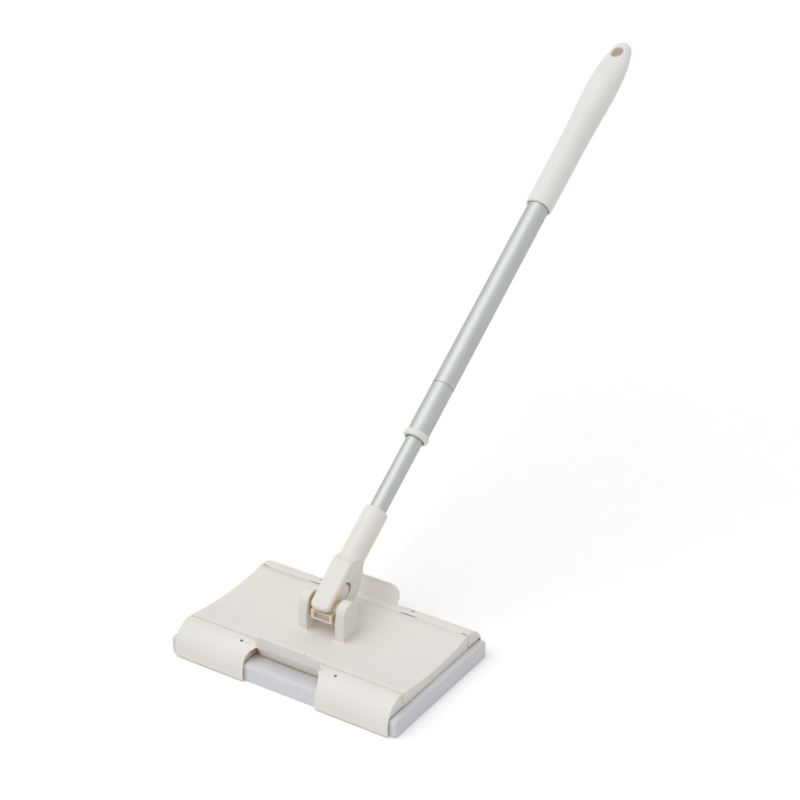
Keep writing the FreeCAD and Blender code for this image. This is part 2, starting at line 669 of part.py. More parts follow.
def cross_block():
    body = new_body("cross_block")
    width = tongue_front + tongue_back
    spring_line = S.block_top - S.block_dome
    dome = (width * width / 4 + S.block_dome * S.block_dome) / (2 * S.block_dome)
    across(body, "Pad", [
        (-tongue_front, -S.tongue_bottom), (tongue_back, -S.tongue_bottom),
        (tongue_back, spring_line, dome, 1), (-tongue_front, spring_line),
    ], 2 * S.block_half)
    across(body, "Pad", Disc(0, 0, S.hub_radius), 2 * (S.ear_gap_half - S.hub_play))
    across(body, "Pad", [
        upright(-S.foot_front, -S.foot_top), upright(-S.foot_front, -S.foot_bottom),
        behind_tongue(-S.foot_bottom), behind_tongue(-S.foot_top),
    ], 2 * S.foot_half)
    mouth, back = -S.foot_front - 1, S.foot_opening_depth - S.foot_front
    roof, sill = -S.foot_top - S.foot_wall, S.foot_wall - S.foot_bottom
    across(body, "Pocket", [
        upright(mouth, roof), upright(mouth, sill), upright(back, sill), upright(back, roof),
    ], 2 * (S.foot_half - 2 * S.foot_wall))
    across(body, "Pocket", Disc(0, 0, S.yoke_pin_radius + S.press_fit), 2 * ear_outer)
    bore = new_sketch(body, "XZ_Plane")
    circle(bore, 0, 0, S.fork_pin_radius + S.running_fit)
    extrude(body, "Pocket", bore, 2 * (S.fork_front + S.fork_back), symmetric=True)
    put_on_pole(body, as_size(0))
    return body


def fork_pin():
    body = new_body("fork_pin")
    sketch = new_sketch(body, "XZ_Plane", -S.fork_pin_back)
    circle(sketch, 0, 0, S.fork_pin_radius)
    extrude(body, "Pad", sketch, S.fork_pin_back + pin_front - 0.2)
    put_on_pole(body, as_size(0))
    return body


def pole_fork():
    body = new_body("pole_fork")
    across(body, "Pad", [
        (-S.fork_front, -S.fork_arm_drop), (S.fork_heel, -S.fork_arm_drop),
        (S.fork_back, S.fork_back_height, S.fork_cheek, 1), (S.fork_nape, S.fork_nape_height),
        (-S.fork_crest, S.fork_crest_height), (-S.fork_chest, S.fork_chest_height),
    ], 2 * S.fork_half)
    slot_round = (S.slot_front + S.slot_back) / 2
    slot_middle = (S.slot_back - S.slot_front) / 2
    below = -S.fork_arm_drop - 5
    across(body, "Pocket", [
        (-S.slot_front, below), (S.slot_back, below),
        (S.slot_back, S.slot_top - slot_round, slot_round, 1),
        (slot_middle, S.slot_top, slot_round, 1), (-S.slot_front, S.slot_top - slot_round),
    ], 4 * S.fork_half)
    round_edges(body, S.fork_arm_round,
                lambda box: level(box, -S.fork_arm_drop) and box.XLength < 0.01)
    round_edges(body, S.fork_edge_round, lambda box: box.YMax < 0.01 - S.fork_front.value)
    socket = new_sketch(body, "XZ_Plane", S.tube_offset)
    outline(socket, [
        (0, S.socket_root), (S.fork_half - S.socket_root_inset, S.socket_root),
        (S.socket_radius, S.socket_flare),
        (S.socket_radius, S.socket_top - S.socket_rim, S.socket_rim, 1),
        (S.socket_radius - S.socket_rim, S.socket_top), (0, S.socket_top),
    ])
    turn = body.newObject("PartDesign::Revolution", "pole_fork_socket")
    turn.Profile = socket
    turn.ReferenceAxis = (socket, ["V_Axis"])
    turn.Angle = 360
    body.Tip = turn
    bore = new_sketch(body, "XY_Plane", S.socket_top + 1)
    circle(bore, 0, -S.tube_offset, S.inner_radius + S.press_fit)
    extrude(body, "Pocket", bore, S.socket_top + 1 - S.socket_floor)
    pin_hole = new_sketch(body, "XZ_Plane", pin_front)
    circle(pin_hole, 0, 0, S.fork_pin_radius + S.press_fit)
    extrude(body, "Pocket", pin_hole, pin_front + 2 * S.fork_back)
    put_on_pole(body, as_size(0))
    return body


def inner_tube():
    return sleeve("inner_tube", S.inner_radius - S.tube_wall, S.inner_radius,
                  S.socket_floor + 0.5, S.inner_top)


def lock_stem():
    plug = S.inner_radius - S.tube_wall - S.press_fit
    flange_top = S.inner_top + S.stem_flange
    neck_top = flange_top + S.sleeve_length + 2 * S.seam_gap
    return turned("lock_stem", [
        (0, S.inner_top - S.plug_length), (plug, S.inner_top - S.plug_length), (plug, S.inner_top),
        (S.inner_radius, S.inner_top), (S.inner_radius, flange_top), (S.stem_radius, flange_top),
        (S.stem_radius, neck_top), (S.inner_radius, neck_top),
        (S.inner_radius, neck_top + S.stem_head), (0, neck_top + S.stem_head),
    ])


def lock_sleeve():
    bottom = S.inner_top + S.stem_flange + S.seam_gap
    body = sleeve("lock_sleeve", S.stem_radius + S.running_fit, upper_bore - S.running_fit,
                  bottom, bottom + S.sleeve_length)
    far = 2 * S.upper_radius
    across(body, "Pocket", [
        (S.stem_radius / 2, S.inner_top), (far, S.inner_top),
        (far, S.inner_top + 2 * S.sleeve_length), (S.stem_radius / 2, S.inner_top + 2 * S.sleeve_length),
    ], S.sleeve_slit)
    return body


def collar_ring():
    guide = S.inner_radius + S.running_fit
    bush = lower_bore - S.press_fit
    socket = S.lower_radius + S.press_fit
    bottom, top, bevel = S.ring_bottom, S.ring_bottom + S.ring_height, S.ring_round
    seat = bottom + 3.4
    return turned("collar_ring", [
        (S.ring_mouth, bottom), (S.ring_radius - bevel, bottom), (S.ring_radius, bottom + bevel),
        (S.ring_radius, top - bevel), (S.ring_radius - bevel, top), (socket, top), (socket, seat),
        (bush, seat), (bush, seat + S.bush_length), (guide, seat + S.bush_length),
        (guide, bottom + 2.4), (S.ring_mouth, bottom + 1),
    ])


def lower_outer_tube():
    return sleeve("lower_outer_tube", lower_bore, S.lower_radius, S.ring_bottom + 3.5, seam_low)


def tube_coupling():
    lower, upper = lower_bore - S.press_fit, upper_bore - S.press_fit
    inner = lower - S.coupling_wall
    return turned("tube_coupling", [
        (inner, S.seam - S.coupling_half), (lower, S.seam - S.coupling_half), (lower, seam_low + 0.1),
        (upper, seam_low + 0.1), (upper, S.seam + S.coupling_half), (inner, S.seam + S.coupling_half),
    ])


def upper_outer_tube():
    return sleeve("upper_outer_tube", upper_bore, S.upper_radius, seam_high, S.upper_top)


def grip():
    bore = S.upper_radius + S.press_fit
    ceiling = S.upper_top + 0.5
    rise, reach, land = S.grip_tip - S.grip_crown, S.grip_crown_radius, S.grip_tip_land
    crown = (reach * reach + rise * rise) / (2 * rise)
    tip = S.grip_tip - crown + (crown * crown - land * land).root()
    body = turned("grip", [
        (bore, S.grip_bottom), (S.grip_low_radius - S.grip_rim, S.grip_bottom, S.grip_rim, 1),
        (S.grip_low_radius, S.grip_bottom + S.grip_rim), (S.grip_mid_radius, S.grip_mid),
        (S.grip_swell_radius, S.grip_swell, S.grip_swell_curve, 1),
        (S.grip_neck_radius, S.grip_neck, S.grip_neck_curve, 1),
        (reach, S.grip_crown, crown, 1),
        (land, tip), (0, tip), (0, ceiling), (bore, ceiling),
    ])
    for side in (1, -1):
        far = side * 2 * S.grip_swell_radius
        across(body, "Pocket", [
            (side * (S.grip_swell_radius + 1), S.tip_taper_start),
            (side * S.tip_flat, S.eye_station + 2), (side * S.tip_end_flat, S.grip_tip + 1),
            (far, S.grip_tip + 1), (far, S.tip_taper_start),
        ], 3 * S.grip_swell_radius)
    eye = new_sketch(body, "XZ_Plane")
    circle(eye, 0, S.eye_station, S.eye_radius)
    extrude(body, "Pocket", eye, 3 * S.grip_swell_radius, symmetric=True)
    return body


def build():
    nodes = [sponge_pad(), base_plate(), front_flap(), rear_flap(),
             hinge_rod("front_hinge_rod", -1), hinge_rod("rear_hinge_rod", 1),
             spring_pair("front_flap_springs", 180), spring_pair("rear_flap_springs", 0),
             yoke_pins(), cross_block(), fork_pin(), pole_fork()]
    for make in (inner_tube, lock_stem, lock_sleeve, collar_ring, lower_outer_tube, tube_coupling,
                 upper_outer_tube, grip):
        tube = make()
        put_on_pole(tube, S.tube_offset)
        nodes.append(tube)
    return nodes


def check_and_write(nodes):
    doc.recompute()
    for item in doc.Objects:
        if "Invalid" in item.State or "Error" in item.State:
            raise RuntimeError(f"{item.Label}: {item.State}")
    os.makedirs("parts", exist_ok=True)
    for node in nodes:
        if node.Shape.isNull() or not node.Shape.isValid():
            raise RuntimeError(f"{node.Label} has no valid shape")
        node.Shape.exportStep(f"parts/{node.Label}.step")
        print(node.Label, len(node.Shape.Solids), round(node.Shape.Volume, 1))


check_and_write(build())
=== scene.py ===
import json
import math

import bmesh
import bpy
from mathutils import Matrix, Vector, noise

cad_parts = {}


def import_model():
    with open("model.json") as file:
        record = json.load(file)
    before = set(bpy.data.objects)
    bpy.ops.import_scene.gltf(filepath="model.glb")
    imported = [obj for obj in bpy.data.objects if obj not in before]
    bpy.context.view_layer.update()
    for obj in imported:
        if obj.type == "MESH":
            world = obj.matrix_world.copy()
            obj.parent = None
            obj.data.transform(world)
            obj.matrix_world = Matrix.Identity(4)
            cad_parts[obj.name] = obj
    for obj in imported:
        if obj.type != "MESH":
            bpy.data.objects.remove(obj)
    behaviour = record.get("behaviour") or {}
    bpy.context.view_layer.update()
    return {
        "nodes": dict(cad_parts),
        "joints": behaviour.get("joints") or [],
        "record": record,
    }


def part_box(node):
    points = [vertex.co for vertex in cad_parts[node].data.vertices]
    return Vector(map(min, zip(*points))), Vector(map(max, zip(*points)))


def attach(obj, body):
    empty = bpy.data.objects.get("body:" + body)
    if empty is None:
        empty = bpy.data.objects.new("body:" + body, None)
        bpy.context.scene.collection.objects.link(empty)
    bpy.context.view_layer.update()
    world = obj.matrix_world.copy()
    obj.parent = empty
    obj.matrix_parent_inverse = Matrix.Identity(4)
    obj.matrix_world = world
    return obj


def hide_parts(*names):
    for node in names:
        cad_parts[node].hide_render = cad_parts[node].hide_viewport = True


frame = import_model()

MM = 0.001
SCENE = bpy.context.scene
NODES = frame["nodes"]
JOINTS = {joint["name"]: joint for joint in frame["joints"]}
PIVOT = Vector(JOINTS["yoke_lean"]["pos_m"])
HINGE_Y = abs(JOINTS["rear_flap_hinge"]["pos_m"][1])
EYE = next(mount for mount in frame["record"]["mounts"] if mount["name"] == "hanging_eye")

# The pole's own directions: along the head, up the pole and out of its front
ACROSS = Vector((1, 0, 0))
POLE = Vector(JOINTS["pole_extend"]["axis"]).normalized()
FRONT = Vector(JOINTS["pole_sway"]["axis"]).normalized()
AXIS_START = Vector(JOINTS["lock_twist"]["pos_m"])


# Materials

# Places of the two colours on a noise's range
RAMP_STOPS = (0.3, 0.7)
# Sockets of a Mix node for colours, where its other kinds have sockets of the same names
MIX_FACTOR, MIX_FIRST, MIX_SECOND, MIX_RESULT = 0, 6, 7, 2


class Shader:
    """Builds a node material with short calls."""

    def __init__(self, name):
        self.material = bpy.data.materials.new(name)
        self.material.use_nodes = True
        self.tree = self.material.node_tree
        self.principled = self.tree.nodes["Principled BSDF"]

    def node(self, kind, inputs=None, **settings):
        made = self.tree.nodes.new(kind)
        for key, value in settings.items():
            setattr(made, key, value)
        for key, value in (inputs or {}).items():
            self.feed(made.inputs[key], value)
        return made

    def feed(self, socket, value):
        if isinstance(value, bpy.types.NodeSocket):
            self.tree.links.new(value, socket)
        else:
            socket.default_value = value

    def set(self, **values):
        for key, value in values.items():
            self.feed(self.principled.inputs[key.replace("_", " ")], value)

    def coords(self, scale=(1, 1, 1), turn=(0, 0, 0)):
        """Object coordinates, turned and then stretched."""
        source = self.node("ShaderNodeTexCoord").outputs["Object"]
        turned = self.node("ShaderNodeMapping", {"Vector": source, "Rotation": turn})
        stretched = self.node("ShaderNodeMapping", {
            "Vector": turned.outputs["Vector"], "Scale": scale})
        return stretched.outputs["Vector"]

    def noise(self, vector, scale, detail, roughness=0.55):
        made = self.node("ShaderNodeTexNoise", {
            "Vector": vector, "Scale": scale, "Detail": detail, "Roughness": roughness})
        return made.outputs["Fac"]

    def ramp(self, factor, first, second):
        """The first colour where the noise is low and the second where it is high."""
        made = self.node("ShaderNodeValToRGB", {"Fac": factor})
        for element, position, colour in zip(
                made.color_ramp.elements, RAMP_STOPS, (first, second)):
            element.position = position
            element.color = (*colour, 1)
        return made.outputs["Color"]

    def span(self, value, low, high):
        made = self.node("ShaderNodeMapRange", {"Value": value, "To Min": low, "To Max": high})
        return made.outputs["Result"]

    def smooth(self, value, low, high):
        made = self.node(
            "ShaderNodeMapRange", {"Value": value, "From Min": low, "From Max": high},
            interpolation_type="SMOOTHSTEP")
        return made.outputs["Result"]

    def mix(self, factor, first, second):
        made = self.node("ShaderNodeMix", data_type="RGBA")
        self.feed(made.inputs[MIX_FACTOR], factor)
        self.feed(made.inputs[MIX_FIRST], first)
        self.feed(made.inputs[MIX_SECOND], second)
        return made.outputs[MIX_RESULT]

    def bump(self, height, strength, distance, normal=None):
        inputs = {"Height": height, "Strength": strength, "Distance": distance}
        if normal is not None:
            inputs["Normal"] = normal
        return self.node("ShaderNodeBump", inputs).outputs["Normal"]


def linear(red, green, blue):
    """A colour written as 0 to 255 display values."""
    def channel(value):
        value /= 255
        return value / 12.92 if value <= 0.04045 else ((value + 0.055) / 1.055) ** 2.4
    return channel(red), channel(green), channel(blue)


# Painted shade in the plastics: a tan tone in recesses and between parts, found by ambient
# occlusion this deep, full and gone at these occlusion values
PAINTED_SHADE_REACH = 15 * MM
PAINTED_SHADE_TONE = (228, 200, 160)
PAINTED_SHADE_FULL, PAINTED_SHADE_NONE = 0.05, 0.7


def plastic(name, colour, shade, roughness, grain):
    """Moulded off-white plastic: fine grain, faint mottling, and painted shade, a tan tone where
    ambient occlusion finds recesses.
    """
    s = Shader(name)
    place = s.coords()
    open_colour = s.ramp(s.noise(place, scale=22, detail=3), linear(*shade), linear(*colour))
    occlusion = s.node("ShaderNodeAmbientOcclusion", {"Distance": PAINTED_SHADE_REACH}, samples=8)
    fine = s.noise(place, scale=1500, detail=2, roughness=0.6)
    # Painted shade: the colour goes to the tan tone where ambient occlusion finds a recess
    free_of_painted_shade = s.smooth(occlusion.outputs["AO"], PAINTED_SHADE_FULL, PAINTED_SHADE_NONE)
    s.set(Base_Color=s.mix(free_of_painted_shade, (*linear(*PAINTED_SHADE_TONE), 1), open_colour),
          Roughness=s.span(s.noise(place, scale=160, detail=3), roughness - 0.05, roughness + 0.06),
          Normal=s.bump(s.noise(place, scale=34, detail=2), strength=0.05, distance=0.6 * MM,
                        normal=s.bump(fine, strength=grain, distance=0.12 * MM)))
    s.principled.inputs["IOR"].default_value = 1.49
    s.principled.inputs["Specular IOR Level"].default_value = 0.42
    return s.material


plate_plastic = plastic("plate_plastic", (235, 232, 226), (231, 228, 221), 0.5, 0.35)
flap_plastic = plastic("flap_plastic", (236, 233, 228), (232, 229, 223), 0.48, 0.3)
joint_plastic = plastic("joint_plastic", (235, 231, 225), (231, 227, 220), 0.42, 0.22)
grip_plastic = plastic("grip_plastic", (235, 233, 229), (231, 229, 224), 0.46, 0.25)
lock_plastic = plastic("lock_plastic", (212, 208, 199), (204, 200, 190), 0.5, 0.3)


def tube_metal():
    """Satin drawn aluminium with fine streaks along the tube."""
    s = Shader("tube_metal")
    lean = math.atan2(POLE.y, POLE.z)
    along = s.coords(scale=(1, 1, 0.02), turn=(lean, 0, 0))
    streaks = s.noise(along, scale=900, detail=3)
    s.set(Metallic=1.0,
          Base_Color=s.ramp(streaks, linear(176, 179, 177), linear(188, 191, 188)),
          Roughness=s.span(streaks, 0.5, 0.6),
          Normal=s.bump(streaks, strength=0.12, distance=0.05 * MM))
    return s.material


def steel_wire():
    """Bright steel with fine scratches along the head."""
    s = Shader("steel_wire")
    scratches = s.noise(s.coords(scale=(0.05, 1, 1)), scale=2500, detail=3)
    s.set(Metallic=1.0,
          Base_Color=s.ramp(scratches, linear(160, 160, 160), linear(178, 178, 177)),
          Roughness=s.span(scratches, 0.24, 0.4))
    return s.material


def sponge_foam():
    """Fine-celled sponge, a cool white with open cells, each cell painted darker towards its middle
    as shade in its pit.
    """
    s = Shader("sponge")
    place = s.coords()
    cells = s.node("ShaderNodeTexVoronoi", {"Vector": place, "Scale": 620.0}).outputs["Distance"]
    fine = s.noise(place, scale=1800, detail=3, roughness=0.7)
    patch = s.noise(place, scale=14, detail=3)
    # Painted shade: the colour darkens towards each cell's middle, where the cell bump is lowest
    s.set(Base_Color=s.mix(s.span(cells, 0.0, 0.55), (*linear(214, 216, 220), 1),
                           s.ramp(patch, linear(227, 228, 232), linear(233, 234, 237))),
          Roughness=0.9,
          Normal=s.bump(cells, strength=0.5, distance=0.5 * MM,
                        normal=s.bump(fine, strength=0.4, distance=0.3 * MM)))
    s.principled.inputs["Sheen Weight"].default_value = 0.25
    s.principled.inputs["Sheen Roughness"].default_value = 0.5
    s.principled.inputs["Specular IOR Level"].default_value = 0.2
    return s.material


FINISH = {
    "plate_plastic": plate_plastic, "flap_plastic": flap_plastic, "joint_plastic": joint_plastic,
    "grip_plastic": grip_plastic, "lock_plastic": lock_plastic, "sponge": sponge_foam(),
    "tube_metal": tube_metal(), "steel_wire": steel_wire(),
}
SLOT_OF = {part["node"]: part["material_slot"] for part in frame["record"]["subparts"]}


def dress(mesh, node):
    """Gives a mesh its node's material and no other."""
    mesh.materials.clear()
    mesh.materials.append(FINISH[SLOT_OF[node]])


for name, cad_piece in NODES.items():
    dress(cad_piece.data, name)


# Moulded pieces with rounded edges

# In degrees: faces that meet at less than the first become one, and edges over the second
# are rounded
FLAT_ANGLE, EDGE_ANGLE = 1, 28
# Shading breaks at edges over this angle
SHARP_ANGLE, NEVER_SHARP = 40, 180
WELD = 1e-6

BODY_OF = {node: body for body, members in frame["record"]["behaviour"]["bodies"].items()
           for node in members}


def stand_in(mesh, name, node):
    """Adds a piece that stands for a CAD node and moves with its body."""
    piece = bpy.data.objects.new(name, mesh)
    SCENE.collection.objects.link(piece)
    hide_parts(node)
    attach(piece, BODY_OF[node])
    return piece


def finish_mesh(work, mesh, sharp=SHARP_ANGLE):
    """Writes the work into the mesh, smooth apart from its sharp edges."""
    bmesh.ops.triangulate(work, faces=[face for face in work.faces if len(face.verts) > 4])
    for face in work.faces:
        face.smooth = True
    work.to_mesh(mesh)
    work.free()
    mesh.set_sharp_from_angle(angle=math.radians(sharp))


def soften(node, *rounds):
    """A copy of a CAD node with rounded edges. A round is (width, segments, wanted(middle))."""
    mesh = bpy.data.meshes.new(f"{node}_soft")
    dress(mesh, node)
    work = bmesh.new()
    work.from_mesh(NODES[node].data)
    bmesh.ops.remove_doubles(work, verts=work.verts, dist=WELD)
    bmesh.ops.dissolve_limit(
        work, angle_limit=math.radians(FLAT_ANGLE), verts=work.verts, edges=work.edges)
    for width, segments, wanted in rounds:
        edges = [edge for edge in work.edges
                 if len(edge.link_faces) == 2
                 and edge.calc_face_angle(0) > math.radians(EDGE_ANGLE)
                 and wanted((edge.verts[0].co + edge.verts[1].co) / 2)]
        bmesh.ops.bevel(
            work, geom=edges, offset=width, offset_type="OFFSET", segments=segments,
            profile=0.5, affect="EDGES", clamp_overlap=False)
    finish_mesh(work, mesh)
    piece = stand_in(mesh, f"{node}_soft", node)
    piece.modifiers.new("flat_faces", "WEIGHTED_NORMAL").keep_sharp = True


# Which edges are rounded
EAR_SIDE, EAR_DEPTH, EAR_FOOT, PIN_CLEAR = 30 * MM, 16 * MM, 29 * MM, 4 * MM
RIM_SIDE, RIM_DEPTH = 131.5 * MM, 60 * MM
BARREL_CLEAR = 3.4 * MM
PEEPHOLE_X, PEEPHOLE_Y, PEEPHOLE_CLEAR = 58.5 * MM, 70.9 * MM, 3 * MM
BLOCK_HEART = 7.5 * MM
FORK_REACH = 66 * MM


def on_ear(middle):
    """Edges of the yoke ears, apart from the bores for the stub pins."""
    to_pin = math.hypot(middle.y - PIVOT.y, middle.z - PIVOT.z)
    return (abs(middle.x) < EAR_SIDE and abs(middle.y) < EAR_DEPTH
            and middle.z > EAR_FOOT and to_pin > PIN_CLEAR)


def on_plate_rim(middle):
    """The plate's outer edges, clear of the hinge lugs."""
    return abs(middle.x) > RIM_SIDE and abs(middle.y) < RIM_DEPTH


def on_flap(middle):
    """Edges outside the hinge barrel and away from the small holes."""
    from_hinge = abs(middle.y) - HINGE_Y
    at_peephole = (abs(abs(middle.x) - PEEPHOLE_X) < PEEPHOLE_CLEAR
                   and abs(abs(middle.y) - PEEPHOLE_Y) < PEEPHOLE_CLEAR)
    return from_hinge > BARREL_CLEAR and not at_peephole


def off_pivot(middle):
    """Edges of the cross block, apart from those round its middle."""
    return (middle - PIVOT).length > BLOCK_HEART


def by_pivot(middle):
    """Edges of the fork, apart from those round its socket's mouth."""
    return (middle - PIVOT).length < FORK_REACH


soften("base_plate", (1.3 * MM, 3, on_ear), (0.4 * MM, 2, on_plate_rim))
soften("front_flap", (0.45 * MM, 2, on_flap))
soften("rear_flap", (0.45 * MM, 2, on_flap))
soften("cross_block", (0.45 * MM, 2, off_pivot))
soften("pole_fork", (0.8 * MM, 2, by_pivot))


# Shapes made of small cells

RELAX_FACTOR = 0.5


def evaluated(holder):
    """A new mesh of an object after its modifiers."""
    graph = bpy.context.evaluated_depsgraph_get()
    return bpy.data.meshes.new_from_object(holder.evaluated_get(graph))


def remeshed(mesh, cell, name):
    """A copy of a closed mesh made of even square cells."""
    holder = bpy.data.objects.new(name, mesh)
    SCENE.collection.objects.link(holder)
    voxels = holder.modifiers.new("voxels", "REMESH")
    voxels.mode = "VOXEL"
    voxels.voxel_size = cell
    made = evaluated(holder)
    bpy.data.objects.remove(holder)
    made.name = name
    return made


def relax(work, vertices, times):
    for _ in range(times):
        bmesh.ops.smooth_vert(work, verts=vertices, factor=RELAX_FACTOR,
                              use_axis_x=True, use_axis_y=True, use_axis_z=True)


# Shapes round the pole's axis

ROUND_POINTS = 96


def turns(count):
    """This many angles, evenly round a circle."""
    return [math.tau * i / count for i in range(count)]


def round_the_pole(along, radius):
    """A ring of points about the pole's axis, this far along it."""
    middle = AXIS_START + POLE * along
    return [middle + (ACROSS * math.cos(turn) + FRONT * math.sin(turn)) * radius
            for turn in turns(ROUND_POINTS)]


def about_the_pole(node):
    """How far a node's vertices are along the pole's axis, and how far from it."""
    places = [vertex.co - AXIS_START for vertex in NODES[node].data.vertices]
    along = [place.dot(POLE) for place in places]
    return along, [(place - POLE * place.dot(POLE)).length for place in places]


def bridge(work, row, following):
    """A belt of faces between two rings of vertices."""
    count = len(row)
    for i in range(count):
        j = (i + 1) % count
        work.faces.new((row[i], row[j], following[j], following[i]))


# Grip

# Distance below the tip, half width, depth in front of the tube's axis and depth behind it,
# in millimetres
GRIP_STATIONS = [
    (0.0, 0.6, 0.6, 0.6), (0.9, 4.3, 3.4, 2.6), (3.2, 7.6, 5.6, 4.4), (8.5, 11.4, 7.8, 7.2),
    (17.5, 14.1, 9.4, 9.4), (28.0, 16.3, 10.9, 11.4), (42.0, 18.0, 12.9, 13.4),
    (58.0, 18.6, 15.6, 15.6), (76.0, 18.4, 17.6, 17.6), (105.0, 17.4, 17.3, 17.3),
    (145.0, 16.2, 16.2, 16.2), (246.0, 15.4, 15.4, 15.4), (247.3, 14.1, 14.1, 14.1),
]
GRIP_LENGTH = GRIP_STATIONS[-1][0]
# Rings of the loft, in millimetres below the tip: close ones on the crown, then even steps
CROWN_RINGS = [0.0, 0.3, 0.9, 1.8]
RING_START, RING_STEP = 3.2, 1.5
# The loft stands this far over the CAD tip, because smoothing draws it in
TIP_RELAX = 1.3 * MM
GRIP_CELL = 0.7 * MM
GRIP_RELAX, EYE_RELAX = 4, 2
# The eye's front rim is drawn out towards the pole by this factor
EYE_STRETCH = 1.6
EYE_REACH = 14 * MM
EYE_POINTS = 64
TUBE_CLEAR = 0.1 * MM
# The tube's bore starts this many millimetres below the grip
TUBE_OVERRUN = 10


def steady_curve(knots, at):
    """A smooth curve through the knots that doesn't swing past them."""
    slopes = [(b[1] - a[1]) / (b[0] - a[0]) for a, b in zip(knots, knots[1:])]
    tangents = [slopes[0]]
    for before, after in zip(slopes, slopes[1:]):
        same_way = before * after > 0
        tangents.append(2 * before * after / (before + after) if same_way else 0)
    tangents.append(slopes[-1])
    index = max(i for i in range(len(knots) - 1) if knots[i][0] <= at or i == 0)
    run = knots[index + 1][0] - knots[index][0]
    t = (at - knots[index][0]) / run
    return ((2 * t ** 3 - 3 * t ** 2 + 1) * knots[index][1]
            + (t ** 3 - 2 * t ** 2 + t) * run * tangents[index]
            + (3 * t ** 2 - 2 * t ** 3) * knots[index + 1][1]
            + (t ** 3 - t ** 2) * run * tangents[index + 1])


def loft(rings):
    """A closed skin over rings of as many points each."""
    work = bmesh.new()
    rows = [[work.verts.new(point) for point in ring] for ring in rings]
    for row, following in zip(rows, rows[1:]):
        bridge(work, row, following)
    work.faces.new(rows[0][::-1])
    work.faces.new(rows[-1])
    bmesh.ops.recalc_face_normals(work, faces=work.faces)
    return work


def to_mesh(work, name):
    mesh = bpy.data.meshes.new(name)
    work.to_mesh(mesh)
    work.free()
    return mesh


def cut(mesh, tool, name):
    """The mesh with the tool's space taken out."""
    holder = bpy.data.objects.new(name, mesh)
    cutter = bpy.data.objects.new(f"{name}_tool", tool)
    for item in (holder, cutter):
        SCENE.collection.objects.link(item)
    difference = holder.modifiers.new("cut", "BOOLEAN")
    difference.object = cutter
    difference.operation = "DIFFERENCE"
    made = evaluated(holder)
    bpy.data.objects.remove(holder)
    bpy.data.objects.remove(cutter)
    return made


def grip_skin(tip):
    """Rings of the grip's outside, from the tip down."""
    wide, front, back = (
        [(station[0], station[column]) for station in GRIP_STATIONS] for column in (1, 2, 3))
    count = int((GRIP_LENGTH - RING_START) / RING_STEP) + 1
    even = [RING_START + RING_STEP * i for i in range(count)]
    rings = []
    for below in CROWN_RINGS + even + [GRIP_LENGTH]:
        middle = tip - POLE * below * MM
        half, ahead, behind = (steady_curve(knots, below) for knots in (wide, front, back))
        ring = []
        for turn in turns(ROUND_POINTS):
            depth = ahead if math.sin(turn) > 0 else behind
            offset = Vector((half * math.cos(turn), 0, 0)) + FRONT * depth * math.sin(turn)
            ring.append(middle + offset * MM)
        rings.append(ring)
    return rings


def eye_ring(eye, radius, side, stretch):
    """One end of the hanging eye's bore, stretched towards the pole."""
    return [eye + FRONT * side + Vector((radius * math.cos(turn), 0, 0))
            + POLE * (radius * math.sin(turn) * (stretch if math.sin(turn) < 0 else 1))
            for turn in turns(EYE_POINTS)]


def grip():
    """The grip, bored for its hanging eye and for the tube."""
    reach = max(about_the_pole("grip")[0])
    tip = AXIS_START + POLE * (reach + TIP_RELAX)
    body = to_mesh(loft(grip_skin(tip)), "grip_body")
    eye, radius = Vector(EYE["pos_m"]), EYE["dims"]["r_mm"] * MM
    bore = to_mesh(loft([eye_ring(eye, radius, -EYE_REACH, 1),
                         eye_ring(eye, radius, EYE_REACH, EYE_STRETCH)]), "eye_bore")
    heights, radii = about_the_pole("upper_outer_tube")
    socket_radius = max(radii) + TUBE_CLEAR
    below_grip = reach - (GRIP_LENGTH + TUBE_OVERRUN) * MM
    socket = to_mesh(loft([round_the_pole(along, socket_radius)
                           for along in (below_grip, max(heights))]), "tube_bore")
    hollow = cut(cut(body, bore, "grip_body"), socket, "grip_body")
    mesh = remeshed(hollow, GRIP_CELL, "grip_body")
    work = bmesh.new()
    work.from_mesh(mesh)
    relax(work, work.verts[:], GRIP_RELAX)

    def off_axis(point):
        away = point - eye
        return (away - FRONT * away.dot(FRONT)).length
    at_eye = [vertex for vertex in work.verts if off_axis(vertex.co) < EYE_STRETCH * radius]
    relax(work, at_eye, EYE_RELAX)
    dress(mesh, "grip")
    finish_mesh(work, mesh, NEVER_SHARP)
    stand_in(mesh, "grip_body", "grip")


grip()


# Collar ring

RING_HEIGHT = 8.2 * MM
RING_ROUND = 3.2 * MM
# The bevel at the bottom of the guide hole: its height up the hole, its width and its foot
BEVEL_TOP, BEVEL_WIDTH, BEVEL_FOOT = 2.4 * MM, 1.5 * MM, 0.6 * MM
# The bush is what stands this close to the top
BUSH_TOP = 1 * MM
QUARTER_STEP = 15


def quarter(radius, along, start):
    """A quarter turn of the ring's rounded rim about (radius, along)."""
    angles = [math.radians(start + QUARTER_STEP * i) for i in range(90 // QUARTER_STEP + 1)]
    return [(radius + RING_ROUND * math.cos(angle), along + RING_ROUND * math.sin(angle))
            for angle in angles]


